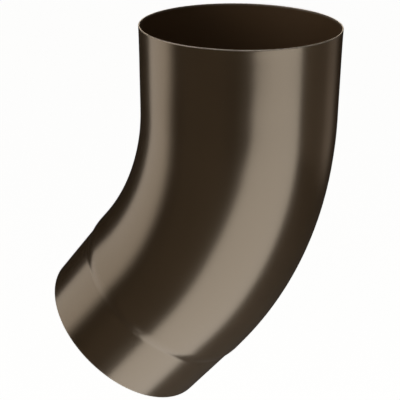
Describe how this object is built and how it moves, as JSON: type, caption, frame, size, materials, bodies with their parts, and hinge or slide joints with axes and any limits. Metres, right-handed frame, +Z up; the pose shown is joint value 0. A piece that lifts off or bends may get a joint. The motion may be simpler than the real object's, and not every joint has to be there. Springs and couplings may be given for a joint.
{
  "type": "downspout elbow",
  "caption": "Round one-piece sheet-metal downpipe bend: a flared socket above takes the pipe that comes down, and a stepped-in neck below goes into the next pipe.",
  "frame": {"origin": "middle of the socket's seat, at the lower end of its straight wall, where the pipe above ends", "axes": "+Z up along the socket's axis and out of its mouth; the bend lies in the XZ plane and turns the run of pipe from -Z towards -X; +Y across it"},
  "size_m": [0.153, 0.1032, 0.2062],
  "materials": {
    "brown_coating": "dark brown semi-gloss polyester coat on drawn steel sheet"
  },
  "bodies": {
    "root": {"elbow": "brown_coating"}
  },
  "joints": []
}
